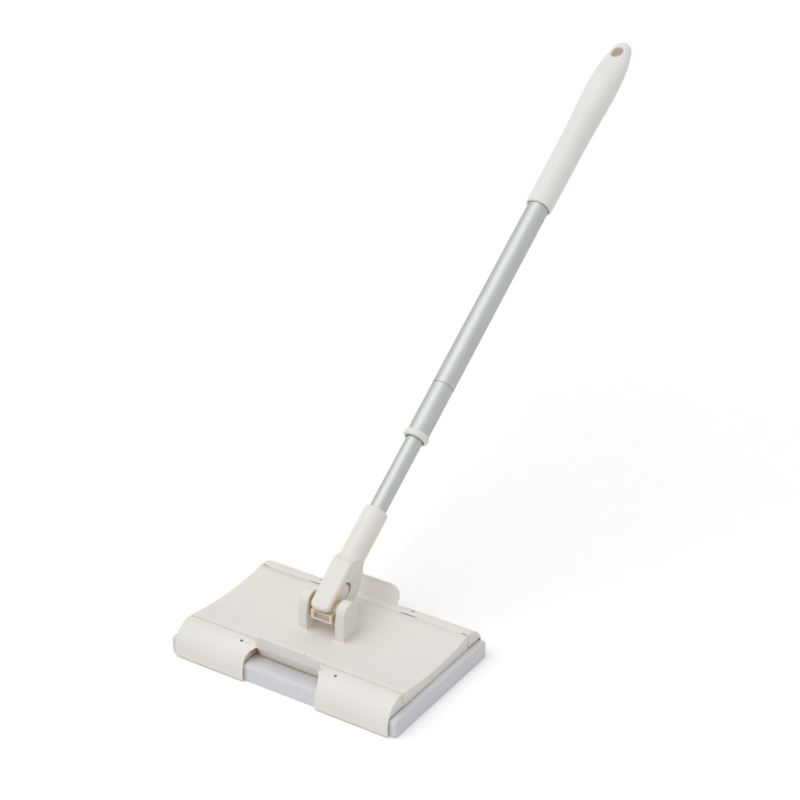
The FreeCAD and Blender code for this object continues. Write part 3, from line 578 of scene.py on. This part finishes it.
def collar_ring():
    """The ring with a rounded rim, and its bush inside the tube."""
    along, radii = about_the_pole("collar_ring")
    bottom, top, guide, outer = min(along), max(along), min(radii), max(radii)
    bush = max(radius for radius, height in zip(radii, along) if height > top - BUSH_TOP)
    rim = outer - RING_ROUND
    profile = [(guide, top), (guide, bottom + BEVEL_TOP),
               (guide + BEVEL_WIDTH, bottom + BEVEL_FOOT)]
    profile += quarter(rim, bottom + RING_ROUND, -90)
    profile += quarter(rim, bottom + RING_HEIGHT - RING_ROUND, 0)
    profile += [(bush, bottom + RING_HEIGHT), (bush, top)]
    work = bmesh.new()
    rings = [[work.verts.new(point) for point in round_the_pole(height, radius)]
             for radius, height in profile]
    for row, following in zip(rings, rings[1:] + rings[:1]):
        bridge(work, row, following)
    bmesh.ops.recalc_face_normals(work, faces=work.faces)
    mesh = bpy.data.meshes.new("collar_ring_turned")
    dress(mesh, "collar_ring")
    finish_mesh(work, mesh)
    stand_in(mesh, "collar_ring_turned", "collar_ring")


collar_ring()


# Sponge pad

# Rounding of the long top edges and of the others, and the segments of each
TOP_ROUND, TOP_SEGMENTS = 3.6 * MM, 6
SIDE_ROUND, SIDE_SEGMENTS = 1.6 * MM, 4
BLOCK_EDGE = 60
SPONGE_CELL = 1.6 * MM
SPONGE_RELAX = 2
# The underside stays flat up to here
FLAT_BELOW = 1.2 * MM
# Slow and quick unevenness of the sides, each with its strength in millimetres
SLOW_WAVES, SLOW_SWELL = 26, 0.5
QUICK_WAVES, QUICK_SWELL = 110, 0.25
QUICK_SHIFT = Vector((7, 3, 1))
INWARD = 0.35


def round_off(work, edges, width, segments):
    bmesh.ops.bevel(work, geom=edges, offset=width, offset_type="OFFSET", segments=segments,
                    profile=0.5, affect="EDGES")


def sponge_pad():
    """A cut block of sponge with softly rounded edges and slightly uneven sides."""
    low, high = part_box("sponge_pad")
    work = bmesh.new()
    bmesh.ops.create_cube(work, size=1)
    size, centre = high - low, (low + high) / 2
    for vertex in work.verts:
        vertex.co = Vector(a * b for a, b in zip(vertex.co, size)) + centre
    long_top = [edge for edge in work.edges
                if all(vertex.co.z > centre.z for vertex in edge.verts)
                and edge.verts[0].co.y == edge.verts[1].co.y]
    round_off(work, long_top, TOP_ROUND, TOP_SEGMENTS)
    others = [edge for edge in work.edges
              if edge.calc_face_angle(0) > math.radians(BLOCK_EDGE)]
    round_off(work, others, SIDE_ROUND, SIDE_SEGMENTS)
    mesh = remeshed(to_mesh(work, "sponge_block"), SPONGE_CELL, "sponge_block")
    work = bmesh.new()
    work.from_mesh(mesh)
    relax(work, work.verts[:], SPONGE_RELAX)
    work.normal_update()
    for vertex in work.verts:
        if vertex.co.z < low.z + FLAT_BELOW:
            continue
        slow = noise.noise(vertex.co * SLOW_WAVES) * SLOW_SWELL
        quick = noise.noise(vertex.co * QUICK_WAVES + QUICK_SHIFT) * QUICK_SWELL
        vertex.co += vertex.normal * (slow + quick - INWARD) * MM
    dress(mesh, "sponge_pad")
    finish_mesh(work, mesh, NEVER_SHARP)
    piece = stand_in(mesh, "sponge_block", "sponge_pad")


sponge_pad()


# Camera, light and floor

CAMERA_PLACE = (0.9587, -1.3384, 1.0886)
AZIMUTH, ELEVATION = math.radians(33.03), math.radians(25.75)
LENS, SENSOR = 84.15, 36
FAR = 50
FLOOR_HALF = 30
# Brings the lit floor up to the background's white, for the camera and for reflections
FLOOR_GLOW = 0.16
WHITE = (1, 1, 1, 1)


def camera():
    data = bpy.data.cameras.new("camera")
    data.lens = LENS
    data.sensor_width = SENSOR
    data.clip_end = FAR
    eye = bpy.data.objects.new("camera", data)
    eye.location = CAMERA_PLACE
    eye.rotation_euler = (math.pi / 2 - ELEVATION, 0, AZIMUTH)
    SCENE.collection.objects.link(eye)
    SCENE.camera = eye


def sun(name, strength, spread, turn):
    """A sun lamp, with its spread and its turn in degrees."""
    data = bpy.data.lights.new(name, "SUN")
    data.energy = strength
    data.angle = math.radians(spread)
    lamp = bpy.data.objects.new(name, data)
    lamp.rotation_euler = [math.radians(angle) for angle in turn]
    SCENE.collection.objects.link(lamp)


def world(strength):
    """Even light on the object, and white for the camera and for reflections."""
    made = bpy.data.worlds.new("studio")
    made.use_nodes = True
    tree = made.node_tree
    tree.nodes.clear()
    output = tree.nodes.new("ShaderNodeOutputWorld")
    light = tree.nodes.new("ShaderNodeBackground")
    light.inputs["Strength"].default_value = strength
    shown = tree.nodes.new("ShaderNodeBackground")
    shown.inputs["Color"].default_value = WHITE
    shown.inputs["Strength"].default_value = 1
    path = tree.nodes.new("ShaderNodeLightPath")
    mix = tree.nodes.new("ShaderNodeMixShader")
    seen = tree.nodes.new("ShaderNodeMath")
    seen.operation = "MAXIMUM"
    tree.links.new(path.outputs["Is Camera Ray"], seen.inputs[0])
    tree.links.new(path.outputs["Is Glossy Ray"], seen.inputs[1])
    tree.links.new(seen.outputs[0], mix.inputs["Fac"])
    tree.links.new(light.outputs[0], mix.inputs[1])
    tree.links.new(shown.outputs[0], mix.inputs[2])
    tree.links.new(mix.outputs[0], output.inputs["Surface"])
    SCENE.world = made


def floor():
    mesh = bpy.data.meshes.new("floor")
    corners = [(x * FLOOR_HALF, y * FLOOR_HALF, 0) for x, y in ((-1, -1), (1, -1), (1, 1), (-1, 1))]
    mesh.from_pydata(corners, [], [(0, 1, 2, 3)])
    s = Shader("floor")
    grain = s.noise(s.coords(), scale=40, detail=2)
    s.set(Base_Color=s.ramp(grain, (0.93, 0.93, 0.93), (0.95, 0.95, 0.95)), Roughness=0.9)
    s.principled.inputs["Specular IOR Level"].default_value = 0.1
    path = s.node("ShaderNodeLightPath")
    rays = {0: path.outputs["Is Camera Ray"], 1: path.outputs["Is Glossy Ray"]}
    seen = s.node("ShaderNodeMath", rays, operation="MAXIMUM").outputs[0]
    s.set(Emission_Strength=s.span(seen, 0, FLOOR_GLOW))
    s.principled.inputs["Emission Color"].default_value = WHITE
    mesh.materials.append(s.material)
    plane = bpy.data.objects.new("floor", mesh)
    SCENE.collection.objects.link(plane)


camera()
sun("key", strength=1.3, spread=60, turn=(22, -12, 0))
world(strength=0.66)
floor()
SCENE.view_settings.view_transform = "Standard"
